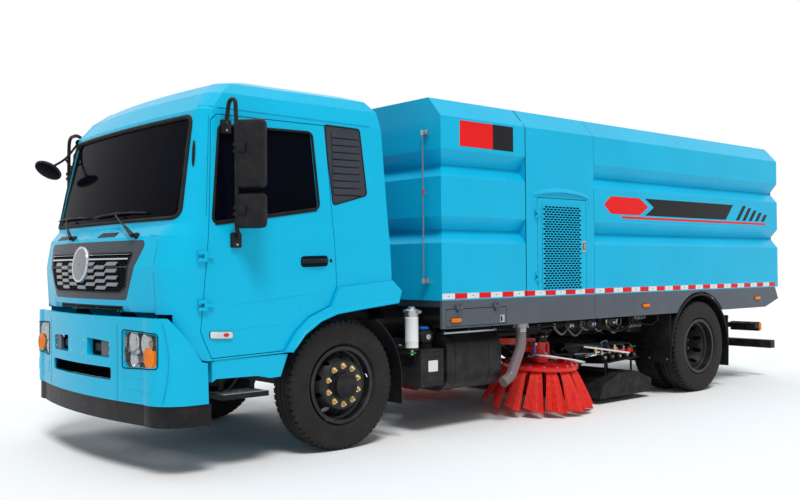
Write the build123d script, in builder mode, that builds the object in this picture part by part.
from build123d import *
import os
from math import cos, radians, sin

os.makedirs("parts", exist_ok=True)

# Street sweeper truck, millimetres. X points to the truck's left, the nose looks along -Y,
# Z is up, the tyres stand on Z = 0 and the origin is below the middle of the whole length.

# ------------------------------------------------------------------ driving dimensions
FRONT_OVERHANG = 1680
WHEELBASE = 5000
REAR_OVERHANG = 1900
FRONT_AXLE_Y = (FRONT_OVERHANG - WHEELBASE - REAR_OVERHANG) / 2
REAR_AXLE_Y = FRONT_AXLE_Y + WHEELBASE

SEAT = 0.3            # gap between a piece and the one that carries it
RUNNING = 0.05        # radial clearance of a turning fit
SHUT_GAP = 6          # gap round a door or lid

TYRE_R = 510          # axle height, the loaded radius
TREAD_R = 511.5       # free radius; the load flattens the foot
TYRE_W = 254
BEAD_R = 286
RIM_FLANGE_R = 304
TWIN_SPACING = 318
FRONT_WHEEL_X = 1003  # middle plane of the front wheels
REAR_WHEEL_X = 1115   # middle plane of the outer rear wheels
KINGPIN_X = 800
SPINDLE_R = 36

RAIL_X = 430          # outer face of a chassis rail
RAIL_TOP = 960
RAIL_H = 250
RAIL_FLANGE = 75
RAIL_WEB = 8
RAIL_FRONT = -1480    # stations are distances behind the front axle
RAIL_REAR = 6700

BODY_HALF = 1250
BODY_BOTTOM = 1145
BODY_CHAMFER_Z = 2721
BODY_TOP = 2893
BODY_TOP_HALF = 1098
BODY_WALL = 40
BODY_FRONT = 958
MACHINE_FRONT = 2034
BIN_FRONT = 3060
BIN_REAR = 6740
BODY_REAR = 6810
SECTION_GAP = 6
GROOVE_DEPTH = 97
# lower edge, deepest line and upper edge of each groove
GROOVES = ((1636, 1754, 1864), (2206, 2318, 2439))

SKIRT_BOTTOM = 904
SKIRT_T = 25
GUARD_R = 590         # inside radius of the rear mudguards
GUARD_T = 8


def aft(distance):
    """Y of a station given as its distance behind the front axle."""
    return FRONT_AXLE_Y + distance


def block(x, y, z, mode=Mode.ADD):
    """A box from its low and high values along each axis, y as stations."""
    centre = ((x[0] + x[1]) / 2, aft((y[0] + y[1]) / 2), (z[0] + z[1]) / 2)
    with Locations(centre):
        Box(x[1] - x[0], y[1] - y[0], z[1] - z[0], mode=mode)


def drawn(points, corner, shrink):
    """A polygon on the open sketch, with its corners rounded and its edges drawn in."""
    area = sum(a[0] * b[1] - b[0] * a[1] for a, b in zip(points, points[1:] + points[:1]))
    outline = Polygon(*(points if area > 0 else points[::-1]), align=None)
    if corner:
        fillet(outline.vertices(), corner)
    if shrink:
        offset(amount=-shrink, kind=Kind.INTERSECTION, mode=Mode.REPLACE)


def side_prism(outline, x_low, x_high, mode=Mode.ADD, corner=0, shrink=0):
    """A side view outline (station, height) pushed from x_low to x_high."""
    with BuildSketch(Plane.YZ.offset(x_low)) as sketch:
        drawn([(aft(y), z) for y, z in outline], corner, shrink)
    extrude(sketch.sketch, amount=x_high - x_low, mode=mode)


def front_prism(outline, y_front, y_back, mode=Mode.ADD, corner=0, shrink=0):
    """A front view outline (x, height) pushed from one station back to another."""
    with BuildSketch(Plane.XZ.offset(-aft(y_front))) as sketch:
        drawn(list(outline), corner, shrink)
    extrude(sketch.sketch, amount=y_front - y_back, mode=mode)


def plan_prism(outline, z_low, z_high, mode=Mode.ADD, corner=0, shrink=0):
    """A plan outline (x, station) pushed from z_low up to z_high."""
    with BuildSketch(Plane.XY.offset(z_low)) as sketch:
        drawn([(x, aft(y)) for x, y in outline], corner, shrink)
    extrude(sketch.sketch, amount=z_high - z_low, mode=mode)


def rod_along(direction, centre, radius, length, mode=Mode.ADD):
    """A round bar centred on a point, y as a station."""
    plane = Plane(origin=(centre[0], aft(centre[1]), centre[2]), z_dir=direction)
    with BuildSketch(plane) as sketch:
        Circle(radius)
    extrude(sketch.sketch, amount=length / 2, both=True, mode=mode)


def tube_between(start, end, radius, mode=Mode.ADD):
    """A round bar from one point to another, y as stations."""
    a = Vector(start[0], aft(start[1]), start[2])
    b = Vector(end[0], aft(end[1]), end[2])
    with BuildSketch(Plane(origin=a, z_dir=(b - a))) as sketch:
        Circle(radius)
    extrude(sketch.sketch, amount=(b - a).length, mode=mode)


def symmetric(half):
    """A closed outline from its right half, listed from bottom to top."""
    return list(half) + [(-x, z) for x, z in reversed(half)]


def hinge_posts(direction, centre, pin_r, knuckle_r, height, mode=Mode.ADD):
    """The fixed half of a hinge: two knuckles with a pin through both."""
    along_axis = Vector(*direction).normalized()
    for step in (-1, 1):
        offset_by = along_axis * step * (height + 1)
        spot = (centre[0] + offset_by.X, centre[1] + offset_by.Y, centre[2] + offset_by.Z)
        rod_along(direction, spot, knuckle_r, height, mode)
    rod_along(direction, centre, pin_r, 3 * height, mode)


def save(builder, name):
    builder.part.label = name
    export_step(builder.part, f"parts/{name}.step")


# ------------------------------------------------------------------ chassis frame
SPRING_W = 70
SPRING_X = RAIL_X - RAIL_FLANGE / 2
SPRING_PACK = 56
SPRING_EYE_Z = RAIL_TOP - RAIL_H - 46
HANGER_W = 60
SPRINGS = (
    # axle station, half length, top of the pack at the axle
    (0, 740, 596),
    (WHEELBASE, 800, 652),
)
# station and underside of each cross-member
CROSS_MEMBERS = (
    (-1100, 810), (1290, 810), (1900, 810), (3180, 780), (4300, 740), (5850, 780), (6450, 780),
)
CROSS_MEMBER_H = 120
CAB_PIVOT_Y = -1500
CAB_PIVOT_Z = 1150
CAB_PIVOT_R = 16
CAB_EAR_T = 24
TIP_PIVOT_Y = 6600
TIP_PIVOT_Z = 1060
TIP_PIVOT_R = 25
TIP_EAR_T = 40
TIP_X = 200           # middle plane of the tipping cylinder
TIP_BASE_Y = 3700
TIP_BASE_Z = 830
TIP_PIN_R = 20
TIP_EYE_Y = 5200
TIP_EYE_Z = 1085
TIP_EYE_W = 60
CAB_REST_Y = 330
CAB_FLOOR_Z = 1120
BROOM_PIVOT_X = 500
BROOM_PIVOT_Y = 2150
BROOM_PIVOT_Z = 690
BROOM_PIVOT_R = 22
NOZZLE_PIVOT_Y = 3080
NOZZLE_PIVOT_Z = 600
NOZZLE_ARM_X = 300
NOZZLE_PIN_R = 18

RAIL_BOTTOM = RAIL_TOP - RAIL_H
RAIL_INSIDE = RAIL_X - RAIL_WEB

with BuildPart() as frame:
    for side in (1, -1):
        # channel rail, open towards the middle, with the body's runner on top
        channel = [
            (side * RAIL_X, RAIL_BOTTOM),
            (side * RAIL_X, RAIL_TOP),
            (side * (RAIL_X - RAIL_FLANGE), RAIL_TOP),
            (side * (RAIL_X - RAIL_FLANGE), RAIL_TOP - RAIL_WEB),
            (side * RAIL_INSIDE, RAIL_TOP - RAIL_WEB),
            (side * RAIL_INSIDE, RAIL_BOTTOM + RAIL_WEB),
            (side * (RAIL_X - RAIL_FLANGE), RAIL_BOTTOM + RAIL_WEB),
            (side * (RAIL_X - RAIL_FLANGE), RAIL_BOTTOM),
        ]
        front_prism(channel, RAIL_FRONT, RAIL_REAR)
        runner_x = sorted((side * (RAIL_X - RAIL_FLANGE), side * RAIL_X))
        block(runner_x, (BODY_FRONT + 60, TIP_PIVOT_Y - 150), (RAIL_TOP, BODY_BOTTOM - SEAT))
        # cab rest and spring hangers
        block(runner_x, (CAB_REST_Y, CAB_REST_Y + 90), (RAIL_TOP, CAB_FLOOR_Z - SEAT))
        for station, half_length, pack_top in SPRINGS:
            for end in (-1, 1):
                y = station + end * (half_length - HANGER_W / 2)
                block(
                    runner_x,
                    (y - HANGER_W / 2, y + HANGER_W / 2),
                    (SPRING_EYE_Z + SEAT, RAIL_BOTTOM),
                )
        # front ear that carries the cab's pivot
        with BuildSketch(Plane.YZ.offset(side * (RAIL_X - CAB_EAR_T / 2) - CAB_EAR_T / 2)):
            Polygon(
                (aft(RAIL_FRONT + 160), RAIL_TOP - 90),
                (aft(RAIL_FRONT + 160), RAIL_TOP + 40),
                (aft(CAB_PIVOT_Y) + 26, CAB_PIVOT_Z + 20),
                (aft(CAB_PIVOT_Y) - 26, CAB_PIVOT_Z - 20),
                (aft(RAIL_FRONT), RAIL_TOP - 90),
                align=None,
            )
            with Locations((aft(CAB_PIVOT_Y), CAB_PIVOT_Z)):
                Circle(2.1 * CAB_PIVOT_R)
        extrude(amount=CAB_EAR_T)
        rod_along(
            (1, 0, 0),
            (side * (RAIL_X - CAB_EAR_T / 2), CAB_PIVOT_Y, CAB_PIVOT_Z),
            CAB_PIVOT_R + RUNNING,
            2 * CAB_EAR_T,
            Mode.SUBTRACT,
        )
        # rear ear of the tipping hinge
        ear_x = sorted((side * RAIL_INSIDE, side * (RAIL_INSIDE - TIP_EAR_T)))
        block(ear_x, (TIP_PIVOT_Y - 60, TIP_PIVOT_Y + 60), (RAIL_TOP - 60, TIP_PIVOT_Z))
        rod_along(
            (1, 0, 0),
            (side * (RAIL_INSIDE - TIP_EAR_T / 2), TIP_PIVOT_Y, TIP_PIVOT_Z),
            60,
            TIP_EAR_T,
        )
        rod_along(
            (1, 0, 0),
            (side * (RAIL_INSIDE - TIP_EAR_T / 2), TIP_PIVOT_Y, TIP_PIVOT_Z),
            TIP_PIVOT_R + RUNNING,
            2 * TIP_EAR_T,
            Mode.SUBTRACT,
        )
        # broom bracket with its upright pin
        bracket_x = sorted((side * (RAIL_X - RAIL_WEB), side * (BROOM_PIVOT_X + 45)))
        block(
            bracket_x,
            (BROOM_PIVOT_Y - 45, BROOM_PIVOT_Y + 45),
            (BROOM_PIVOT_Z + 50, BROOM_PIVOT_Z + 75),
        )
        rod_along(
            (0, 0, 1),
            (side * BROOM_PIVOT_X, BROOM_PIVOT_Y, BROOM_PIVOT_Z),
            BROOM_PIVOT_R,
            110,
        )
        # hanger of the suction nozzle's arm
        arm_x = sorted((side * NOZZLE_ARM_X, side * (NOZZLE_ARM_X + 40)))
        block(arm_x, (NOZZLE_PIVOT_Y - 35, NOZZLE_PIVOT_Y + 140), (RAIL_TOP - 160, RAIL_TOP - 60))
        block(arm_x, (NOZZLE_PIVOT_Y - 35, NOZZLE_PIVOT_Y + 35), (NOZZLE_PIVOT_Z, RAIL_TOP - 100))
        rod_along(
            (1, 0, 0),
            (side * (NOZZLE_ARM_X + 10), NOZZLE_PIVOT_Y, NOZZLE_PIVOT_Z),
            NOZZLE_PIN_R,
            100,
        )
    for y, z in CROSS_MEMBERS:
        block((-RAIL_INSIDE, RAIL_INSIDE), (y - 40, y + 40), (z, z + CROSS_MEMBER_H))
    # base ears of the tipping cylinder, on their own cross-member
    block((-RAIL_INSIDE, RAIL_INSIDE), (TIP_BASE_Y - 130, TIP_BASE_Y - 60), (RAIL_TOP - 220, RAIL_TOP - 60))
    for x in (TIP_X - TIP_EYE_W / 2 - 22, TIP_X + TIP_EYE_W / 2 + 2):
        block((x, x + 20), (TIP_BASE_Y - 70, TIP_BASE_Y), (TIP_BASE_Z - 45, TIP_BASE_Z + 45))
        rod_along((1, 0, 0), (x + 10, TIP_BASE_Y, TIP_BASE_Z), 45, 20)
    rod_along((1, 0, 0), (TIP_X, TIP_BASE_Y, TIP_BASE_Z), TIP_PIN_R, TIP_EYE_W + 50)
save(frame, "frame")

# ------------------------------------------------------------------ axles and springs
BEAM_H = 90
BEAM_DROP_Z = 440
KNUCKLE_GAP = 8
with BuildPart() as front_axle:
    # dropped forged beam that rises to the king-pin bosses
    with BuildSketch(Plane.XZ.offset(-FRONT_AXLE_Y)):
        Polygon(
            *symmetric([
                (520, BEAM_DROP_Z),
                (KINGPIN_X - 60, TYRE_R - 60),
                (KINGPIN_X, TYRE_R - 60),
                (KINGPIN_X, TYRE_R + 60),
                (KINGPIN_X - 60, TYRE_R + 60),
                (500, SPRINGS[0][2] - SPRING_PACK),
            ]),
            align=None,
        )
    extrude(amount=40, both=True)
    for side in (1, -1):
        rod_along((0, 0, 1), (side * KINGPIN_X, 0, TYRE_R), 48, 120)
        rod_along((0, 0, 1), (side * KINGPIN_X, 0, TYRE_R), 20, 250)
save(front_axle, "front_axle")

DISC_T = 14
FRONT_DISH = 115      # outer face of a wheel disc, out from the wheel's middle plane
TWIN_DISHES = (DISC_T - TWIN_SPACING / 2, TWIN_SPACING / 2 - SEAT)
AXLE_TUBE_R = 75
REAR_SPINDLE_R = 45
BRAKE_R = 205
with BuildPart() as rear_axle:
    rod_along((1, 0, 0), (0, WHEELBASE, TYRE_R), AXLE_TUBE_R, 2 * 560)
    rear_spindle_end = REAR_WHEEL_X + TWIN_DISHES[0] + 15
    rod_along((1, 0, 0), (0, WHEELBASE, TYRE_R), REAR_SPINDLE_R, 2 * rear_spindle_end)
    with Locations((0, REAR_AXLE_Y, TYRE_R)):
        Sphere(190)
    rod_along((0, 1, 0), (0, WHEELBASE - 200, TYRE_R + 20), 80, 200)
    for side in (1, -1):
        # spring seat on the tube
        seat_x = sorted((side * (SPRING_X - SPRING_W / 2), side * (SPRING_X + SPRING_W / 2)))
        block(
            seat_x,
            (WHEELBASE - 90, WHEELBASE + 90),
            (TYRE_R, SPRINGS[1][2] - SPRING_PACK),
        )
        rod_along((1, 0, 0), (side * 590, WHEELBASE, TYRE_R), BRAKE_R, 60)
save(rear_axle, "rear_axle")

with BuildPart() as leaf_springs:
    for side in (1, -1):
        for station, half_length, pack_top in SPRINGS:
            middle = pack_top - SPRING_PACK
            end_low = SPRING_EYE_Z - SPRING_PACK / 2
            with BuildSketch(Plane.YZ.offset(side * SPRING_X)):
                with BuildLine():
                    front, back = aft(station - half_length), aft(station + half_length)
                    lower = ThreePointArc((front, end_low), (aft(station), middle), (back, end_low))
                    Line((back, end_low), (back, SPRING_EYE_Z))
                    ThreePointArc((back, SPRING_EYE_Z), (aft(station), pack_top), (front, SPRING_EYE_Z))
                    Line((front, SPRING_EYE_Z), (front, end_low))
                make_face()
            extrude(amount=SPRING_W / 2, both=True)
save(leaf_springs, "leaf_springs")

# ------------------------------------------------------------------ engine, gearbox and shaft
ENGINE_FRONT = -860
ENGINE_BACK = 330
ENGINE_HALF = 310
ENGINE_TOP = 1370
GEARBOX_BACK = 1180
SHAFT_R = 45
SHAFT_FRONT_Z = 760
SHAFT_END = WHEELBASE - 300 - SEAT
SHAFT_FLANGE = 14
with BuildPart() as drive_line:
    front_prism(
        symmetric([(150, 610), (ENGINE_HALF, 860), (ENGINE_HALF, ENGINE_TOP)]),
        ENGINE_FRONT,
        ENGINE_BACK,
    )
    front_prism(
        symmetric([(150, 620), (240, 760), (180, 1020)]), ENGINE_BACK, GEARBOX_BACK - 80
    )
    block((-90, 90), (GEARBOX_BACK - 80, GEARBOX_BACK), (SHAFT_FRONT_Z - 90, SHAFT_FRONT_Z + 90))
    shaft_back = SHAFT_END - SHAFT_FLANGE
    tube_between((0, GEARBOX_BACK - 10, SHAFT_FRONT_Z), (0, shaft_back, TYRE_R + 20), SHAFT_R)
    rod_along((0, 1, 0), (0, SHAFT_END - SHAFT_FLANGE / 2, TYRE_R + 20), SHAFT_R + 20, SHAFT_FLANGE)
    for side in (1, -1):
        # rubber mounts that hang the engine between the rails
        mount_x = sorted((side * (ENGINE_HALF - 10), side * (RAIL_INSIDE - SEAT)))
        block(mount_x, (-400, -280), (RAIL_BOTTOM + 60, RAIL_BOTTOM + 160))
save(drive_line, "drive_line")

# ------------------------------------------------------------------ knuckles and wheels
HUB_R = 120
SPINDLE_END = 40      # from the wheel's middle plane inwards


def rim_section(plane_x, side, dish):
    """Rim and disc profile, lathed about the X axis; dish is the disc's offset outwards."""
    w = TYRE_W / 2 - 18
    with BuildSketch(Plane.XZ, mode=Mode.PRIVATE) as sketch:
        Polygon(
            (plane_x - w, BEAD_R - 12), (plane_x - w, RIM_FLANGE_R), (plane_x - w + 12, RIM_FLANGE_R),
            (plane_x - w + 16, BEAD_R), (plane_x - 45, BEAD_R), (plane_x - 30, BEAD_R - 20),
            (plane_x + 30, BEAD_R - 20), (plane_x + 45, BEAD_R), (plane_x + w - 16, BEAD_R),
            (plane_x + w - 12, RIM_FLANGE_R), (plane_x + w, RIM_FLANGE_R), (plane_x + w, BEAD_R - 12),
            (plane_x + 38, BEAD_R - 12), (plane_x + 28, BEAD_R - 30), (plane_x - 28, BEAD_R - 30),
            (plane_x - 38, BEAD_R - 12), align=None,
        )
        # disc, from the hub face out to the rim's well
        outer = plane_x + side * 20
        inner = plane_x + side * dish
        Polygon(
            (inner, REAR_SPINDLE_R + 4), (inner, HUB_R + 70), (outer, BEAD_R - 26),
            (outer - side * DISC_T, BEAD_R - 26), (inner - side * DISC_T, HUB_R + 70),
            (inner - side * DISC_T, REAR_SPINDLE_R + 4), align=None,
        )
    return sketch.sketch


def place_rim(section, station):
    """Turns a rim section about its axle."""
    placed = section.moved(Location((0, aft(station), TYRE_R)))
    revolve(placed, axis=Axis((0, aft(station), TYRE_R), (1, 0, 0)))


def lathe_rim(name, side, wheel_x, station, dishes, bore):
    """A wheel, or a twin pair, with its hub, hand holes and bore."""
    with BuildPart() as rim:
        for plane_x, dish in zip(wheel_x, dishes):
            place_rim(rim_section(side * plane_x, side, dish), station)
        hub_face = side * (wheel_x[0] + dishes[0])
        hub_start = side * (wheel_x[0] - SPINDLE_END) if len(wheel_x) == 1 else side * (wheel_x[-1] - 70)
        cap = hub_face + side * 58
        middle = ((hub_start + cap) / 2, station, TYRE_R)
        rod_along((1, 0, 0), middle, HUB_R - 20, abs(cap - hub_start))
        for angle in range(0, 360, 36):
            turn = radians(angle + 18)
            r = 226
            rod_along(
                (1, 0, 0),
                (side * wheel_x[0], station + r * cos(turn), TYRE_R + r * sin(turn)),
                24,
                200,
                Mode.SUBTRACT,
            )
        bore_end = hub_face + side * 20
        rod_along(
            (1, 0, 0), ((hub_start + bore_end) / 2, station, TYRE_R), bore, abs(bore_end - hub_start),
            Mode.SUBTRACT,
        )
    save(rim, name)


def lathe_tyres(name, side, wheel_x, station):
    with BuildPart() as tyre:
        for plane_x in wheel_x:
            x = side * plane_x
            w = TYRE_W / 2
            with BuildSketch(Plane.XZ.offset(-aft(station))):
                tread = TYRE_R + TREAD_R
                Polygon(
                    (x - w + 35, BEAD_R + SEAT + TYRE_R), (x - w + 35, RIM_FLANGE_R + 6 + TYRE_R),
                    (x - w + 5, RIM_FLANGE_R + 24 + TYRE_R), (x - w, BEAD_R + 95 + TYRE_R),
                    (x - w + 10, tread - 28), (x - w + 34, tread - 6), (x, tread),
                    (x + w - 34, tread - 6), (x + w - 10, tread - 28), (x + w, BEAD_R + 95 + TYRE_R),
                    (x + w - 5, RIM_FLANGE_R + 24 + TYRE_R),
                    (x + w - 35, RIM_FLANGE_R + 6 + TYRE_R), (x + w - 35, BEAD_R + SEAT + TYRE_R),
                    align=None,
                )
            revolve(axis=Axis((0, aft(station), TYRE_R), (1, 0, 0)))
            # foot flattened on the road
            block((x - w, x + w), (station - 200, station + 200), (-20, 0), Mode.SUBTRACT)
    save(tyre, name)


SIDES = (("left", 1), ("right", -1))
for word, side in SIDES:
    with BuildPart() as knuckle:
        # fork round the axle's boss, stub spindle and brake drum
        for z in (TYRE_R - 60 - KNUCKLE_GAP - 32, TYRE_R + 60 + KNUCKLE_GAP):
            low, high = sorted((side * (KINGPIN_X - 46), side * (KINGPIN_X + 62)))
            block((low, high), (-46, 46), (z, z + 32))
        web = sorted((side * (KINGPIN_X + 56), side * (KINGPIN_X + 80)))
        block(web, (-90, 90), (TYRE_R - 110, TYRE_R + 110))
        rod_along(
            (1, 0, 0), (side * (KINGPIN_X + 100), 0, TYRE_R), BRAKE_R - 10, 60
        )
        spindle_from = side * (KINGPIN_X + 80)
        spindle_to = side * (FRONT_WHEEL_X + 50)
        rod_along(
            (1, 0, 0), ((spindle_from + spindle_to) / 2, 0, TYRE_R), SPINDLE_R,
            abs(spindle_to - spindle_from),
        )
        rod_along((0, 0, 1), (side * KINGPIN_X, 0, TYRE_R), 20 + RUNNING, 400, Mode.SUBTRACT)
    save(knuckle, f"knuckle_{word}")
    lathe_rim(f"front_rim_{word}", side, (FRONT_WHEEL_X,), 0, (FRONT_DISH,), SPINDLE_R + RUNNING)
    lathe_tyres(f"front_tyre_{word}", side, (FRONT_WHEEL_X,), 0)
    twins = (REAR_WHEEL_X, REAR_WHEEL_X - TWIN_SPACING)
    lathe_rim(f"rear_rims_{word}", side, twins, WHEELBASE, TWIN_DISHES, REAR_SPINDLE_R + RUNNING)
    lathe_tyres(f"rear_tyres_{word}", side, twins, WHEELBASE)

# ------------------------------------------------------------------ cab
WALL_FRONT = 50
WALL_SIDE = 70
WALL_ROOF = 50
WALL_REAR = 50
FLOOR_TOP = 1170
TUNNEL_HALF = 400
TUNNEL_TOP = 1450
GLASS_INSET = 12
GLASS_T = 6
EAVES_Z = 2565
# plan outlines of the cab from sill to roof: height, nose at the middle, shoulder where the
# corner starts, start of the flat side, x of the shoulder, half width, rear
CAB_SECTIONS = (
    (560, -1600, -1510, -1265, 960, 1185, 455),
    (1170, -1625, -1530, -1270, 950, 1190, 455),
    (1450, -1655, -1550, -1265, 940, 1192, 445),
    (1665, -1600, -1510, -1245, 945, 1188, 432),
    (1750, -1475, -1425, -1240, 1000, 1180, 428),
    (EAVES_Z, -1290, -1245, -1150, 985, 1125, 400),
    (2700, -1190, -1140, -1050, 920, 1085, 385),
    (2790, -1070, -1020, -930, 850, 1010, 320),
    (2840, -880, -830, -740, 720, 860, 180),
)


def cab_envelope(front, side, roof, rear, bottom=None):
    """The cab's outer form moved inwards by the given thicknesses, closed at the bottom."""
    with BuildPart() as envelope:
        for z, nose, shoulder, flat, shoulder_x, half, back in CAB_SECTIONS:
            if bottom is not None and z < bottom:
                continue
            level = z - roof if z > EAVES_Z else z
            a = (shoulder_x - side / 2, aft(shoulder + front))
            b = (half - side, aft(flat + front))
            corner = (half - side, aft(shoulder + front))
            arc_x = 0.2929 * (a[0] + b[0]) + 0.4142 * corner[0]
            arc_y = 0.2929 * (a[1] + b[1]) + 0.4142 * corner[1]
            with BuildSketch(Plane.XY.offset(level)):
                with BuildLine():
                    ThreePointArc((-a[0], a[1]), (0, aft(nose + front)), a)
                    ThreePointArc(a, (arc_x, arc_y), b)
                    Polyline(b, (b[0], aft(back - rear)), (-b[0], aft(back - rear)), (-b[0], b[1]))
                    ThreePointArc((-b[0], b[1]), (-arc_x, arc_y), (-a[0], a[1]))
                make_face()
        loft(ruled=True)
    return envelope.part


def cab_skin(depth_from, depth_to):
    """The layer of the cab's wall between two depths below its surface."""
    outer = cab_envelope(depth_from, depth_from, depth_from, depth_from)
    return outer - cab_envelope(depth_to, depth_to, depth_to, depth_to)


# side view outlines (station, height)
DOOR = (
    (-1172, 2490), (-1215, 1780), (-1290, 1000), (-1264, 932), (-1202, 803), (-598, 819),
    (-503, 954), (-379, 1058), (-176, 1138), (-107, 1284), (-171, 2540), (-1120, 2535),
)
DOOR_WINDOW = ((-1178, 1760), (-1100, 2450), (-305, 2465), (-266, 1893))
LOUVRE = ((-176, 2540), (172, 2535), (215, 2013), (-122, 1922))
FLARE = (
    (-540, 807), (-430, 930), (-281, 1024), (-126, 1074), (113, 1101), (500, 1140), (530, 1240),
    (435, 1324), (-105, 1280), (-176, 1138), (-379, 1058), (-503, 954), (-598, 819),
)
UNDERSIDE = (
    (-1800, 500), (-1800, 1112), (-1525, 1112), (-1425, 1000), (-1353, 900), (-1275, 800),
    (-1230, 790), (-598, 807), (-540, 807),
    (-430, 930), (-281, 1024), (-126, 1074), (113, 1101), (500, 1140), (700, 1140), (700, 500),
)
# front view half outlines (x, height)
WINDSCREEN = ((1075, 1795), (1005, 2515))
GRILLE = ((655, 1212), (880, 1640))
REAR_WINDOW = ((560, 1900), (560, 2400))
FLARE_X = (1110, 1225)
TRIM_DEPTH = 18
TOE_Z = 1200
SCREEN_BACK = -1190
DOOR_HINGE_X = 1208
DOOR_HINGE_Y = -1255
DOOR_HINGE_Z = (1180, 1520)
HINGE_ARM_X = 1194    # inside of the hinge arms, just off the skin
KNUCKLE_R = 13
KNUCKLE_H = 24
PIN_R = 7


def plugs_along_x(outline, corner, shrink=0):
    """An outline pushed through both sides of the cab, from x 900 outwards."""
    with BuildPart() as plugs:
        for low, high in ((900, 1400), (-1400, -900)):
            side_prism(outline, low, high, corner=corner, shrink=shrink)
    return plugs.part


def plug_along_y(half_outline, y_front, y_back, corner, shrink=0):
    """A symmetric outline pushed through the cab's front or rear wall."""
    with BuildPart() as plug:
        front_prism(symmetric(half_outline), y_front, y_back, corner=corner, shrink=shrink)
    return plug.part


outer_form = cab_envelope(0, 0, 0, 0)
inner_form = cab_envelope(WALL_FRONT, WALL_SIDE, WALL_ROOF, WALL_REAR)
with BuildPart() as toe_board:
    side_prism(
        (
            (-1700, TOE_Z), (-1310, TOE_Z), (-1300, CAB_FLOOR_Z), (-1230, CAB_FLOOR_Z),
            (-1230, FLOOR_TOP), (-1265, TOE_Z + 40), (-1700, TOE_Z + 40),
        ),
        -985,
        985,
    )
    add(cab_envelope(10, 10, 10, 10), mode=Mode.INTERSECT)
trim_recess = cab_skin(-5, TRIM_DEPTH)
grille_recess = trim_recess & plug_along_y(GRILLE, -1750, -1400, 40)
louvre_recess = trim_recess & plugs_along_x(LOUVRE, 20)

with BuildPart() as cab:
    add(outer_form)
    add(cab_envelope(WALL_FRONT, WALL_SIDE, WALL_ROOF, WALL_REAR, FLOOR_TOP), mode=Mode.SUBTRACT)
    block((-1112, 1112), (-1700, 600), (400, CAB_FLOOR_Z), Mode.SUBTRACT)
    block((-985, 985), (-1800, -1300), (400, FLOOR_TOP), Mode.SUBTRACT)
    side_prism(UNDERSIDE, -1400, 1400, Mode.SUBTRACT)
    add(toe_board.part)
    # floor raised over the engine
    block((-TUNNEL_HALF - 40, TUNNEL_HALF + 40), (-1230, 415), (FLOOR_TOP, TUNNEL_TOP))
    block((-TUNNEL_HALF, TUNNEL_HALF), (-1190, 500), (CAB_FLOOR_Z - 1, TUNNEL_TOP - 40), Mode.SUBTRACT)
    for side in (1, -1):
        low, high = sorted((side * FLARE_X[0], side * FLARE_X[1]))
        side_prism(FLARE, low, high)
        low, high = sorted((side * 900, side * 1400))
        side_prism(DOOR, low, high, Mode.SUBTRACT)
        # lugs and pin of the cab's pivot
        for x in (RAIL_X - CAB_EAR_T - 26, RAIL_X + 2):
            low, high = sorted((side * x, side * (x + 24)))
            side_prism(
                (
                    (CAB_PIVOT_Y - 34, CAB_PIVOT_Z - 30), (CAB_PIVOT_Y + 30, CAB_PIVOT_Z - 34),
                    (-1250, CAB_FLOOR_Z), (-1250, FLOOR_TOP), (CAB_PIVOT_Y - 10, FLOOR_TOP + 60),
                ),
                low,
                high,
            )
        rod_along(
            (1, 0, 0), (side * (RAIL_X - CAB_EAR_T / 2), CAB_PIVOT_Y, CAB_PIVOT_Z),
            CAB_PIVOT_R, 3 * CAB_EAR_T,
        )
        # fixed halves of the door's hinges, on a foot ahead of the door
        for z in DOOR_HINGE_Z:
            centre = (side * DOOR_HINGE_X, DOOR_HINGE_Y, z)
            hinge_posts((0, 0, 1), centre, PIN_R, KNUCKLE_R, KNUCKLE_H)
            for step in (-1, 1):
                mid = z + step * (KNUCKLE_H + 1)
                span = (mid - KNUCKLE_H / 2, mid + KNUCKLE_H / 2)
                arm = sorted((side * HINGE_ARM_X, side * (DOOR_HINGE_X + 6)))
                block(arm, (DOOR_HINGE_Y - 60, DOOR_HINGE_Y), span)
                foot = sorted((side * (HINGE_ARM_X - 24), side * (HINGE_ARM_X + 1)))
                block(foot, (DOOR_HINGE_Y - 60, DOOR_HINGE_Y - 40), span)
    front_prism(symmetric(WINDSCREEN), -1700, SCREEN_BACK, Mode.SUBTRACT, 60)
    front_prism(symmetric(REAR_WINDOW), 300, 600, Mode.SUBTRACT, 60)
    # shallow recesses for the grille panel and the louvres
    add([grille_recess, louvre_recess], mode=Mode.SUBTRACT)
save(cab, "cab")

with BuildPart() as grille:
    add(cab_skin(0, TRIM_DEPTH - SEAT))
    add(plug_along_y(GRILLE, -1750, -1400, 40, SEAT), mode=Mode.INTERSECT)
save(grille, "grille")

with BuildPart() as louvres:
    add(cab_skin(0, TRIM_DEPTH - SEAT))
    add(plugs_along_x(LOUVRE, 20, SEAT), mode=Mode.INTERSECT)
save(louvres, "louvres")

glass_layer = cab_skin(GLASS_INSET, GLASS_INSET + GLASS_T)
pane_plugs = [
    plug_along_y(WINDSCREEN, -1700, SCREEN_BACK, 60, SEAT),
    plug_along_y(REAR_WINDOW, 300, 600, 60, SEAT),
]
with BuildPart() as cab_glass:
    for plug in pane_plugs:
        add(glass_layer & plug)
save(cab_glass, "cab_glass")

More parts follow.
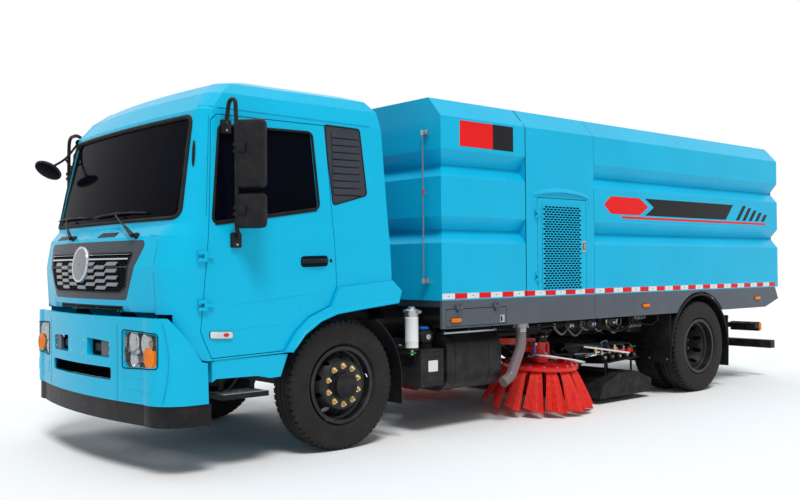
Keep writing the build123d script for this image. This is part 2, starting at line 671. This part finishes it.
MIRROR_ARM_X = 1330
for word, side in SIDES:
    low, high = sorted((side * 900, side * 1400))
    with BuildPart() as door_form:
        side_prism(DOOR, low, high, shrink=SHUT_GAP)
        side_prism(DOOR_WINDOW, low, high, Mode.SUBTRACT, 30)
    with BuildPart() as door:
        add((outer_form - inner_form) & door_form.part)
        for z in DOOR_HINGE_Z:
            centre = (side * DOOR_HINGE_X, DOOR_HINGE_Y, z)
            span = (z - KNUCKLE_H / 2, z + KNUCKLE_H / 2)
            arm = sorted((side * HINGE_ARM_X, side * (DOOR_HINGE_X + 6)))
            block(arm, (DOOR_HINGE_Y, DOOR_HINGE_Y + 60), span)
            foot = sorted((side * (HINGE_ARM_X - 20), side * (HINGE_ARM_X + 1)))
            block(foot, (DOOR_HINGE_Y + 40, DOOR_HINGE_Y + 60), span)
            rod_along((0, 0, 1), centre, KNUCKLE_R, KNUCKLE_H)
            rod_along((0, 0, 1), centre, PIN_R + RUNNING, 2 * KNUCKLE_H, Mode.SUBTRACT)
    save(door, f"door_{word}")
    with BuildPart() as pane:
        side_prism(DOOR_WINDOW, low, high, corner=30, shrink=SEAT)
    with BuildPart() as glass:
        add(glass_layer & pane.part)
    save(glass, f"door_glass_{word}")
    with BuildPart() as mirrors:
        # tubular arm from the door's frame, with a tall and a wide-angle mirror
        with BuildLine() as path:
            FilletPolyline(
                (side * 1125, aft(-1060), 2440), (side * 1230, aft(-1080), 2560),
                (side * MIRROR_ARM_X, aft(-1060), 2560), (side * MIRROR_ARM_X, aft(-1060), 1700),
                (side * 1230, aft(-1010), 1620), (side * 1180, aft(-1000), 1620),
                radius=40,
            )
        with BuildSketch(Plane(origin=path.line @ 0, z_dir=path.line % 0)) as ring:
            Circle(14)
        sweep(ring.sketch, path=path.line)
        for z_low, z_high in ((1990, 2370), (1760, 1930)):
            with BuildSketch(Plane.XZ.offset(-aft(-1040))) as face:
                with Locations((side * (MIRROR_ARM_X + 20), (z_low + z_high) / 2)):
                    RectangleRounded(220, z_high - z_low, 40)
            extrude(face.sketch, amount=70)
        add(door.part, mode=Mode.SUBTRACT)
    save(mirrors, f"mirrors_{word}")

with BuildPart() as cab_interior:
    # two seats on the floor beside the tunnel, with the dashboard and the steering wheel
    for side in (1, -1):
        low, high = sorted((side * 470, side * 960))
        block((low + 60, high - 60), (-640, -260), (FLOOR_TOP, 1530))
        block((low, high), (-720, -180), (1530, 1660))
        side_prism(
            ((-270, 1660), (-180, 1660), (-40, 2330), (-120, 2350)), low + 20, high - 20
        )
    front_prism(symmetric([(1080, 1480), (1060, 1700)]), -1130, -900)
    front_prism(symmetric([(1000, 1550), (1000, 1730)]), -1330, -1130)
    # console between dashboard and tunnel
    block((-150, 150), (-1180, -1000), (TUNNEL_TOP + SEAT, 1520))
    tube_between((700, -1000, 1640), (700, -800, 1830), 24)
    plane = Plane(origin=(700, aft(-795), 1835), z_dir=(0, 0.72, 0.69))
    with Locations(plane):
        Torus(215, 15)
        Cylinder(45, 30)
        Box(430, 40, 14)
save(cab_interior, "cab_interior")

# ------------------------------------------------------------------ bumper, lamps and steps
BUMPER_T = 45
BUMPER_TOP = 1095
BUMPER_BOTTOM = 500
LIP_BOTTOM = 350
HEADLAMP = ((700, 745), (700, 1000), (1090, 985), (1090, 760))


def bumper_outline(depth):
    """Plan of the bumper: bowed face, rounded corners and swept-back ends."""
    with BuildLine() as line:
        a = (930 - depth / 2, aft(-1590 + depth))
        b = (1215 - depth, aft(-1330 + depth))
        ThreePointArc((-a[0], a[1]), (0, aft(-FRONT_OVERHANG + depth)), a)
        ThreePointArc(a, (1150 - 0.7 * depth, aft(-1520 + 0.7 * depth)), b)
        Polyline(b, (b[0], aft(-1210)), (-b[0], aft(-1210)), (-b[0], b[1]))
        ThreePointArc((-b[0], b[1]), (-1150 + 0.7 * depth, aft(-1520 + 0.7 * depth)), (-a[0], a[1]))
    return line.line


def bumper_band(z_low, z_high, depth_from, depth_to):
    """A wall that follows the bumper's plan."""
    with BuildPart() as band:
        with BuildSketch(Plane.XY.offset(z_low)):
            make_face(bumper_outline(depth_from).edges())
        extrude(amount=z_high - z_low)
        with BuildSketch(Plane.XY.offset(z_low)):
            make_face(bumper_outline(depth_to).edges())
        extrude(amount=z_high - z_low, mode=Mode.SUBTRACT)
        block((-1400, 1400), (-1215, -1000), (z_low, z_high), Mode.SUBTRACT)
    return band.part


with BuildPart() as front_bumper:
    add(bumper_band(BUMPER_BOTTOM, BUMPER_TOP, 0, BUMPER_T))
    side_prism(
        (
            (-1520, 1100), (-1430, 985), (-1360, 892), (-1290, 790), (-1247, 780), (-1240, 490),
            (-1000, 490), (-1000, 1100),
        ),
        -1400,
        1400,
        Mode.SUBTRACT,
    )
    for side in (1, -1):
        front_prism([(side * x, z) for x, z in HEADLAMP], -1700, -1300, Mode.SUBTRACT, 30)
        front_prism(
            [(side * 180, 800), (side * 180, 930), (side * 520, 915), (side * 520, 800)],
            -1750, -1450, Mode.SUBTRACT, 15,
        )
    front_prism([(-540, 640), (-540, 730), (540, 730), (540, 640)], -1750, -1450, Mode.SUBTRACT, 20)
    # brackets back to the rails
    for side in (1, -1):
        low, high = sorted((side * (RAIL_X - RAIL_FLANGE), side * RAIL_X))
        block((low, high), (-1620, RAIL_FRONT - SEAT), (RAIL_BOTTOM + 20, RAIL_BOTTOM + 70))
save(front_bumper, "front_bumper")

with BuildPart() as bumper_lip:
    add(bumper_band(LIP_BOTTOM, BUMPER_BOTTOM - SEAT, 12, 60))
save(bumper_lip, "bumper_lip")

with BuildPart() as lamp_form:
    for side in (1, -1):
        front_prism([(side * x, z) for x, z in HEADLAMP], -1700, -1300, corner=30, shrink=SEAT)
with BuildPart() as headlamps:
    add(bumper_band(700, 1050, 6, 90) & lamp_form.part)
save(headlamps, "headlamps")

SILL_TOP = 790
with BuildPart() as sills:
    for side in (1, -1):
        low, high = sorted((side * 1060, side * 1180))
        side_prism(
            (
                (-1195, 640), (-1195, 780), (-1170, SILL_TOP), (-598, SILL_TOP + 8), (-560, 795),
                (-625, 634), (-717, 631), (-819, 655), (-1160, 661),
            ),
            low,
            high,
        )
        low, high = sorted((side * (RAIL_X + SEAT), side * 1060))
        block((low, high), (-1150, -1080), (700, 760))
        block((low, high), (-720, -650), (700, 760))
save(sills, "sills")

TREAD_Z = 545
with BuildPart() as step_treads:
    for side in (1, -1):
        low, high = sorted((side * 990, side * 1215))
        block((low, high), (-1135, -750), (TREAD_Z - 35, TREAD_Z))
        for y in (-1060, -800):
            low, high = sorted((side * 1035, side * (1060 - SEAT)))
            block((low, high), (y, y + 25), (TREAD_Z, 730))
save(step_treads, "step_treads")

FRONT_GUARD_R = 592
FRONT_GUARD_START = 326
GUARD_STAY_R = 14
FLAP_BOTTOM = 304
with BuildPart() as mudguards:
    for side in (1, -1):
        # front: over the back of the wheel and down to a flap
        low, high = sorted((side * 870, side * 1140))
        with BuildSketch(Plane.YZ.offset(low)) as arch:
            with Locations((aft(0), TYRE_R)):
                Circle(FRONT_GUARD_R + GUARD_T)
                Circle(FRONT_GUARD_R, mode=Mode.SUBTRACT)
            with Locations((aft(FRONT_GUARD_START - 1000), TYRE_R)):
                Rectangle(2000, 1300, mode=Mode.SUBTRACT)
            with Locations((aft(0), TYRE_R - 650)):
                Rectangle(1300, 1300, mode=Mode.SUBTRACT)
            with Locations((aft(FRONT_GUARD_R + GUARD_T / 2), (TYRE_R + FLAP_BOTTOM) / 2)):
                Rectangle(GUARD_T, TYRE_R - FLAP_BOTTOM + 2)
        extrude(arch.sketch, amount=high - low)
        # round stay behind the guard, out from the rail
        stay = (FRONT_GUARD_R + GUARD_T + GUARD_STAY_R - 4) * cos(radians(45))
        stay_ends = (RAIL_X + SEAT, 880)
        rod_along(
            (1, 0, 0), (side * sum(stay_ends) / 2, stay, TYRE_R + stay), GUARD_STAY_R,
            stay_ends[1] - stay_ends[0],
        )
        # rear: full arch over the twin wheels
        low, high = sorted((side * 650, side * 1245))
        with BuildSketch(Plane.YZ.offset(low)) as arch:
            with Locations((aft(WHEELBASE), TYRE_R)):
                Circle(GUARD_R + GUARD_T)
                Circle(GUARD_R, mode=Mode.SUBTRACT)
            with Locations((aft(WHEELBASE), TYRE_R - 700)):
                Rectangle(2000, 1400, mode=Mode.SUBTRACT)
        extrude(arch.sketch, amount=high - low)
        arch_top = TYRE_R + GUARD_R
        foot = sorted((side * (RAIL_X + SEAT), side * (RAIL_X + 40)))
        reach = sorted((side * (RAIL_X + SEAT), side * 655))
        block(foot, (WHEELBASE - 30, WHEELBASE + 30), (RAIL_TOP - 60, arch_top))
        block(reach, (WHEELBASE - 30, WHEELBASE + 30), (arch_top - 6, arch_top + 6))
save(mudguards, "mudguards")

# ------------------------------------------------------------------ boxes on the rails
with BuildPart() as fuel_tank:
    with BuildSketch(Plane.XZ.offset(-aft(1135))) as end:
        with Locations((820, 592)):
            RectangleRounded(600, 496, 150)
    extrude(end.sketch, amount=-690)
    for y in (1240, 1660):
        block((RAIL_X + SEAT, 560), (y, y + 50), (RAIL_BOTTOM + 40, 840))
save(fuel_tank, "fuel_tank")

with BuildPart() as side_boxes:
    # left: additive tank and white dryer canister; right: battery box and air vessel
    block((760, 1110), (838, 1105), (408, 728))
    block((RAIL_X + SEAT, 770), (900, 1040), (RAIL_BOTTOM, 728))
    rod_along((0, 0, 1), (1090, 755, 902), 55, 336)
    block((RAIL_X + SEAT, 1060), (735, 775), (RAIL_BOTTOM + 60, RAIL_BOTTOM + 110))
    block((-1110, -600), (900, 1420), (430, 800))
    block((-620, -RAIL_X - SEAT), (1000, 1320), (RAIL_BOTTOM, 800))
    rod_along((0, 1, 0), (-860, 1660, 620), 150, 400)
    block((-860, -RAIL_X - SEAT), (1600, 1700), (RAIL_BOTTOM + 20, RAIL_BOTTOM + 55))
save(side_boxes, "side_boxes")

DUCT_X = 1172
SUCTION_X = -235
SUCTION_Y = 3760
SUCTION_R = 100
SUCTION_WALL = 6
with BuildPart() as ducts:
    # outer elbow behind the fuel tank
    with BuildLine() as path:
        FilletPolyline(
            (DUCT_X, aft(2040), BODY_BOTTOM - SEAT), (DUCT_X, aft(2040), 690),
            (DUCT_X, aft(1900), 430), (DUCT_X, aft(1790), 375),
            radius=(220, 90),
        )
    with BuildSketch(Plane(origin=path.line @ 0, z_dir=path.line % 0)) as ring:
        Circle(48)
    sweep(ring.sketch, path=path.line)
    rod_along((0, 0, 1), (DUCT_X, 2040, 920), 52, 60)
    # suction hose beside the shaft, up to the bin's floor
    suction_z = ((NOZZLE_PIVOT_Z - 90) + (BODY_BOTTOM - SEAT)) / 2
    suction_length = BODY_BOTTOM - SEAT - (NOZZLE_PIVOT_Z - 90)
    rod_along((0, 0, 1), (SUCTION_X, SUCTION_Y, suction_z), SUCTION_R, suction_length)
    rod_along(
        (0, 0, 1), (SUCTION_X, SUCTION_Y, suction_z), SUCTION_R - SUCTION_WALL, suction_length + 2,
        Mode.SUBTRACT,
    )
    block(
        (-RAIL_INSIDE + SEAT, SUCTION_X - SUCTION_R + 4), (SUCTION_Y - 30, SUCTION_Y + 30),
        (RAIL_TOP - 140, RAIL_TOP - 60),
    )
save(ducts, "ducts")

# ------------------------------------------------------------------ body
GROOVED_HALF = [(BODY_HALF, BODY_BOTTOM)]
for low, deep, high in GROOVES:
    GROOVED_HALF += [(BODY_HALF, low), (BODY_HALF - GROOVE_DEPTH, deep), (BODY_HALF, high)]
GROOVED_HALF += [(BODY_HALF, BODY_CHAMFER_Z), (BODY_TOP_HALF, BODY_TOP)]
PLAIN_HALF = [(BODY_HALF, BODY_BOTTOM), (BODY_HALF, BODY_CHAMFER_Z), (BODY_TOP_HALF, BODY_TOP)]
AUX_ENGINE = (2330, 2860)
SERVICE_DOOR = ((2196, 1172), (2932, 1172), (2932, 2077), (2196, 2077))
SERVICE_HINGE_X = BODY_HALF + 14
SERVICE_HINGE_Y = 2190
SERVICE_HINGE_Z = (1330, 1920)
DOOR_T = BODY_WALL

with BuildPart() as water_tank:
    front_prism(symmetric(GROOVED_HALF), BODY_FRONT, MACHINE_FRONT)
    front_prism(
        symmetric(GROOVED_HALF), BODY_FRONT + GROOVE_DEPTH + BODY_WALL, MACHINE_FRONT - BODY_WALL,
        Mode.SUBTRACT, shrink=BODY_WALL,
    )
    for low, deep, high in GROOVES:
        # the grooves run on across the front wall
        side_prism(
            ((BODY_FRONT, low), (BODY_FRONT + GROOVE_DEPTH, deep), (BODY_FRONT, high)),
            -BODY_HALF - 1,
            BODY_HALF + 1,
            Mode.SUBTRACT,
        )
save(water_tank, "water_tank")

with BuildPart() as machine_room:
    room_back = BIN_FRONT - SECTION_GAP
    front_prism(symmetric(PLAIN_HALF), MACHINE_FRONT, room_back)
    front_prism(
        symmetric(PLAIN_HALF), MACHINE_FRONT + BODY_WALL, room_back - BODY_WALL, Mode.SUBTRACT,
        shrink=BODY_WALL,
    )
    side_prism(SERVICE_DOOR, -1400, 1400, Mode.SUBTRACT)
    for side in (1, -1):
        for z in SERVICE_HINGE_Z:
            centre = (side * SERVICE_HINGE_X, SERVICE_HINGE_Y, z)
            hinge_posts((0, 0, 1), centre, PIN_R, KNUCKLE_R, KNUCKLE_H)
            for step in (-1, 1):
                mid = z + step * (KNUCKLE_H + 1)
                foot = sorted((side * (BODY_HALF - 3), side * (SERVICE_HINGE_X + 4)))
                block(
                    foot, (SERVICE_HINGE_Y - 34, SERVICE_HINGE_Y),
                    (mid - KNUCKLE_H / 2, mid + KNUCKLE_H / 2),
                )
    # second engine that drives the fan, as one block on the floor
    block((-420, 420), AUX_ENGINE, (BODY_BOTTOM + BODY_WALL / 2, 1960))
save(machine_room, "machine_room")

for word, side in SIDES:
    with BuildPart() as service_door:
        low, high = sorted((side * (BODY_HALF - DOOR_T), side * BODY_HALF))
        side_prism(SERVICE_DOOR, low, high, shrink=SHUT_GAP)
        for z in SERVICE_HINGE_Z:
            centre = (side * SERVICE_HINGE_X, SERVICE_HINGE_Y, z)
            span = (z - KNUCKLE_H / 2, z + KNUCKLE_H / 2)
            arm = sorted((side * BODY_HALF, side * (SERVICE_HINGE_X + 4)))
            block(arm, (SERVICE_HINGE_Y + 2, SERVICE_HINGE_Y + 46), span)
            rod_along((0, 0, 1), centre, KNUCKLE_R, KNUCKLE_H)
            rod_along((0, 0, 1), centre, PIN_R + RUNNING, 2 * KNUCKLE_H, Mode.SUBTRACT)
    save(service_door, f"service_door_{word}")

BIN_HINGE_Z = BODY_TOP + 22
BIN_HINGE_R = 12
DOOR_PANEL = BODY_REAR - BIN_REAR
with BuildPart() as waste_bin:
    front_prism(symmetric(GROOVED_HALF), BIN_FRONT, BIN_REAR)
    front_prism(
        symmetric(GROOVED_HALF), BIN_FRONT + BODY_WALL, BIN_REAR + 1, Mode.SUBTRACT, shrink=BODY_WALL
    )
    # tipping hinge lugs and the ears of the cylinder's rod
    for side in (1, -1):
        for x in (RAIL_INSIDE - TIP_EAR_T - 32, RAIL_X + 2):
            low, high = sorted((side * x, side * (x + 30)))
            side_prism(
                (
                    (TIP_PIVOT_Y - 110, BODY_BOTTOM + 2), (TIP_PIVOT_Y - 45, TIP_PIVOT_Z - 40),
                    (TIP_PIVOT_Y + 45, TIP_PIVOT_Z - 40), (TIP_PIVOT_Y + 110, BODY_BOTTOM + 2),
                ),
                low,
                high,
            )
        rod_along(
            (1, 0, 0), (side * (RAIL_INSIDE - TIP_EAR_T / 2 + 2), TIP_PIVOT_Y, TIP_PIVOT_Z),
            TIP_PIVOT_R, TIP_EAR_T + 40,
        )
        # hinge blocks of the rear door
        block(
            sorted((side * 700, side * 760)), (BIN_REAR - 60, BIN_REAR - 14),
            (BODY_TOP - 2, BIN_HINGE_Z + 14),
        )
        rod_along((1, 0, 0), (side * 790, BIN_REAR - 14, BIN_HINGE_Z), BIN_HINGE_R, 120)
    # ears beside the rod's eye
    for x in (TIP_X - TIP_EYE_W / 2 - 22, TIP_X + TIP_EYE_W / 2 + 2):
        block((x, x + 20), (TIP_EYE_Y - 45, TIP_EYE_Y + 45), (TIP_EYE_Z, BODY_BOTTOM + 2))
        rod_along((1, 0, 0), (x + 10, TIP_EYE_Y, TIP_EYE_Z), 45, 20)
        rod_along((1, 0, 0), (x + 10, TIP_EYE_Y, TIP_EYE_Z), TIP_PIN_R, 30, Mode.SUBTRACT)
    # mouth of the suction hose
    rod_along((0, 0, 1), (SUCTION_X, SUCTION_Y, BODY_BOTTOM), SUCTION_R - SUCTION_WALL, 200, Mode.SUBTRACT)
save(waste_bin, "waste_bin")

with BuildPart() as rear_door:
    front_prism(symmetric(GROOVED_HALF), BIN_REAR + SEAT, BODY_REAR)
    for side in (1, -1):
        knuckle_x = sorted((side * 790, side * 850))
        rod_along((1, 0, 0), (side * 820, BIN_REAR - 14, BIN_HINGE_Z), 16, 60)
        block(knuckle_x, (BIN_REAR - 14, BIN_REAR + 60), (BODY_TOP + 6, BIN_HINGE_Z + 16))
        block(knuckle_x, (BIN_REAR + 30, BODY_REAR), (BODY_TOP - 40, BODY_TOP + 8))
        rod_along(
            (1, 0, 0), (side * 820, BIN_REAR - 14, BIN_HINGE_Z), BIN_HINGE_R + RUNNING, 200, Mode.SUBTRACT
        )
save(rear_door, "rear_door")

# ------------------------------------------------------------------ tipping cylinder
BARREL_R = 58
ROD_R = 32
base = Vector(TIP_X, aft(TIP_BASE_Y), TIP_BASE_Z)
eye = Vector(TIP_X, aft(TIP_EYE_Y), TIP_EYE_Z)
stroke_line = (eye - base).normalized()
barrel_end = (eye - base).length - 110


def along(distance):
    """A point on the cylinder's centre line."""
    return base + stroke_line * distance


def cylinder_bar(start, end, radius, mode=Mode.ADD):
    with BuildSketch(Plane(origin=along(start), z_dir=stroke_line)) as sketch:
        Circle(radius)
    extrude(sketch.sketch, amount=end - start, mode=mode)


with BuildPart() as tip_barrel:
    cylinder_bar(60, barrel_end, BARREL_R)
    cylinder_bar(0, 70, 30)
    rod_along((1, 0, 0), (TIP_X, TIP_BASE_Y, TIP_BASE_Z), 42, TIP_EYE_W - 4)
    rod_along(
        (1, 0, 0), (TIP_X, TIP_BASE_Y, TIP_BASE_Z), TIP_PIN_R + RUNNING, TIP_EYE_W, Mode.SUBTRACT
    )
    cylinder_bar(120, barrel_end + 1, ROD_R + RUNNING, Mode.SUBTRACT)
save(tip_barrel, "tip_barrel")

with BuildPart() as tip_rod:
    cylinder_bar(130, (eye - base).length - 30, ROD_R)
    rod_along((1, 0, 0), (TIP_X, TIP_EYE_Y, TIP_EYE_Z), 44, TIP_EYE_W - 4)
    rod_along((1, 0, 0), (TIP_X, TIP_EYE_Y, TIP_EYE_Z), TIP_PIN_R, TIP_EYE_W, Mode.SUBTRACT)
save(tip_rod, "tip_rod")

# ------------------------------------------------------------------ skirts
LID = ((1000, 916), (1765, 916), (1765, 1072), (1000, 1072))
LID_HINGE_X = BODY_HALF + 14
LID_HINGE_Z = 1078
LID_HINGE_Y = (1150, 1620)
with BuildPart() as front_skirts:
    for side in (1, -1):
        low, high = sorted((side * (BODY_HALF - SKIRT_T), side * BODY_HALF))
        block((low, high), (BODY_FRONT, BIN_FRONT - SECTION_GAP), (SKIRT_BOTTOM, BODY_BOTTOM - SEAT))
        side_prism(LID, low, high, Mode.SUBTRACT)
        for y in LID_HINGE_Y:
            centre = (side * LID_HINGE_X, y, LID_HINGE_Z)
            hinge_posts((0, 1, 0), centre, PIN_R, KNUCKLE_R, KNUCKLE_H)
            for step in (-1, 1):
                mid = y + step * (KNUCKLE_H + 1)
                foot = sorted((side * (BODY_HALF - 3), side * (LID_HINGE_X + 4)))
                block(
                    foot, (mid - KNUCKLE_H / 2, mid + KNUCKLE_H / 2), (LID_HINGE_Z, LID_HINGE_Z + 26)
                )
        for y in (BODY_FRONT + 60, 1860, 2200, 2700):
            low, high = sorted((side * (RAIL_X + SEAT), side * (BODY_HALF - SKIRT_T)))
            block((low, high), (y, y + 40), (BODY_BOTTOM - 60, BODY_BOTTOM - SEAT))
save(front_skirts, "front_skirts")

for word, side in SIDES:
    with BuildPart() as skirt_lid:
        low, high = sorted((side * (BODY_HALF - SKIRT_T), side * BODY_HALF))
        side_prism(LID, low, high, shrink=SHUT_GAP)
        for y in LID_HINGE_Y:
            centre = (side * LID_HINGE_X, y, LID_HINGE_Z)
            arm = sorted((side * BODY_HALF, side * (LID_HINGE_X + 4)))
            block(arm, (y - KNUCKLE_H / 2, y + KNUCKLE_H / 2), (LID_HINGE_Z - 40, LID_HINGE_Z - 2))
            rod_along((0, 1, 0), centre, KNUCKLE_R, KNUCKLE_H)
            rod_along((0, 1, 0), centre, PIN_R + RUNNING, 2 * KNUCKLE_H, Mode.SUBTRACT)
    save(skirt_lid, f"skirt_lid_{word}")

with BuildPart() as rear_skirts:
    for side in (1, -1):
        low, high = sorted((side * (BODY_HALF - SKIRT_T), side * BODY_HALF))
        side_prism(
            (
                (BIN_FRONT, SKIRT_BOTTOM), (6481, SKIRT_BOTTOM), (BODY_REAR, 1000),
                (BODY_REAR - 76, BODY_BOTTOM - SEAT), (BIN_FRONT, BODY_BOTTOM - SEAT),
            ),
            low,
            high,
        )
        rod_along(
            (1, 0, 0), (side * BODY_HALF, WHEELBASE, TYRE_R), GUARD_R + GUARD_T + 20, 4 * SKIRT_T,
            Mode.SUBTRACT,
        )
save(rear_skirts, "rear_skirts")

# ------------------------------------------------------------------ rear bars
with BuildPart() as rear_bars:
    block((-1150, 1150), (6800, 6900), (365, 465))
    block((-1180, 1180), (6360, 6440), (640, 700))
    for side in (1, -1):
        low, high = sorted((side * (RAIL_X - RAIL_FLANGE), side * RAIL_X))
        side_prism(
            (
                (6560, RAIL_BOTTOM - SEAT), (6690, RAIL_BOTTOM - SEAT), (6870, 460), (6870, 370),
                (6800, 370),
            ),
            low,
            high,
        )
        block((low, high), (6360, 6440), (698, RAIL_BOTTOM - SEAT))
save(rear_bars, "rear_bars")

# ------------------------------------------------------------------ side brooms
BROOM_X = 900
BROOM_Y = 2620
BROOM_Z = 480
BROOM_TILT = 4
DISC_RADIUS = 380
DISC_THICK = 40
BUNDLES = 22
BRISTLE_TIP_R = 525
BRISTLE_TIP_Z = 45
MOTOR_R = 80
STEM_R = 18
STEM_H = 90

with BuildPart() as bundle:
    # one flat bristle bundle, splayed outwards below the disc
    drop = BROOM_Z - DISC_THICK - BRISTLE_TIP_Z - 40
    with BuildSketch(Plane.XY.offset(5 - DISC_THICK)) as top:
        with Locations((DISC_RADIUS - 45, 0)):
            Rectangle(22, 70, rotation=14)
    with BuildSketch(Plane.XY.offset(-DISC_THICK - drop)) as bottom:
        with Locations((BRISTLE_TIP_R - 12, 0)):
            Rectangle(16, 128, rotation=24)
    loft([top.sketch.face(), bottom.sketch.face()], ruled=True)

for word, side in SIDES:
    hub = Vector(side * BROOM_X, aft(BROOM_Y), BROOM_Z)
    spin_axis = Vector(side * sin(radians(BROOM_TILT)), 0, cos(radians(BROOM_TILT)))
    head = Plane(origin=hub, x_dir=(0, 1, 0), z_dir=spin_axis)
    with BuildPart() as broom:
        with BuildSketch(head.offset(-DISC_THICK)) as disc:
            Circle(DISC_RADIUS)
        extrude(disc.sketch, amount=DISC_THICK)
        with Locations(head):
            with PolarLocations(0, BUNDLES):
                add(bundle.part)
        with BuildSketch(head.offset(-5)) as stem:
            Circle(STEM_R)
        extrude(stem.sketch, amount=STEM_H)
    save(broom, f"broom_{word}")
    with BuildPart() as broom_arm:
        # sleeve on the bracket's pin, box arm and the motor over the disc
        rod_along((0, 0, 1), (side * BROOM_PIVOT_X, BROOM_PIVOT_Y, BROOM_PIVOT_Z), 45, 96)
        with BuildSketch(Plane.XY.offset(BROOM_PIVOT_Z - 30)) as arm:
            with BuildLine():
                a = Vector(side * BROOM_PIVOT_X, aft(BROOM_PIVOT_Y))
                b = Vector(side * BROOM_X, aft(BROOM_Y))
                normal = (b - a).normalized().rotate(Axis.Z, 90) * 40
                Polyline(a + normal, b + normal, b - normal, a - normal, close=True)
            make_face()
        extrude(arm.sketch, amount=60)
        with BuildSketch(head.offset(6)) as motor:
            Circle(MOTOR_R)
        extrude(motor.sketch, amount=200)
        with BuildSketch(head.offset(5)) as socket:
            Circle(STEM_R + RUNNING)
        extrude(socket.sketch, amount=STEM_H, mode=Mode.SUBTRACT)
        rod_along(
            (0, 0, 1), (side * BROOM_PIVOT_X, BROOM_PIVOT_Y, BROOM_PIVOT_Z), BROOM_PIVOT_R + RUNNING, 400,
            Mode.SUBTRACT,
        )
    save(broom_arm, f"broom_arm_{word}")

# ------------------------------------------------------------------ suction nozzle
NOZZLE_FRONT = 3330
NOZZLE_BACK = 4250
NOZZLE_HALF = 1090
NOZZLE_SHELL = 12
PORT_R = SUCTION_R - SUCTION_WALL - 18
with BuildPart() as nozzle:
    outline = (
        (NOZZLE_FRONT, 60), (NOZZLE_FRONT + 60, 190), (NOZZLE_FRONT + 330, 300),
        (NOZZLE_BACK - 260, 300), (NOZZLE_BACK, 200), (NOZZLE_BACK, 60),
    )
    side_prism(outline, -NOZZLE_HALF, NOZZLE_HALF)
    side_prism(
        (
            (NOZZLE_FRONT + 30, 40), (NOZZLE_FRONT + 80, 178), (NOZZLE_FRONT + 335, 288),
            (NOZZLE_BACK - 265, 288), (NOZZLE_BACK - 14, 190), (NOZZLE_BACK - 14, 40),
        ),
        -NOZZLE_HALF + NOZZLE_SHELL,
        NOZZLE_HALF - NOZZLE_SHELL,
        Mode.SUBTRACT,
    )
    rod_along((0, 0, 1), (SUCTION_X, SUCTION_Y, 420), PORT_R, 260)
    rod_along((0, 0, 1), (SUCTION_X, SUCTION_Y, 420), PORT_R - 6, 400, Mode.SUBTRACT)
    for side in (1, -1):
        # drag arms up to the pivots on the frame
        low, high = sorted((side * (NOZZLE_ARM_X - 32), side * (NOZZLE_ARM_X - 2)))
        side_prism(
            (
                (NOZZLE_PIVOT_Y - 30, NOZZLE_PIVOT_Z + 30), (NOZZLE_PIVOT_Y + 30, NOZZLE_PIVOT_Z + 30),
                (NOZZLE_FRONT + 380, 340), (NOZZLE_FRONT + 380, 298), (NOZZLE_FRONT + 300, 285),
                (NOZZLE_PIVOT_Y - 30, NOZZLE_PIVOT_Z - 30),
            ),
            low,
            high,
        )
        rod_along(
            (1, 0, 0), (side * NOZZLE_ARM_X, NOZZLE_PIVOT_Y, NOZZLE_PIVOT_Z), NOZZLE_PIN_R + RUNNING, 120,
            Mode.SUBTRACT,
        )
save(nozzle, "suction_nozzle")
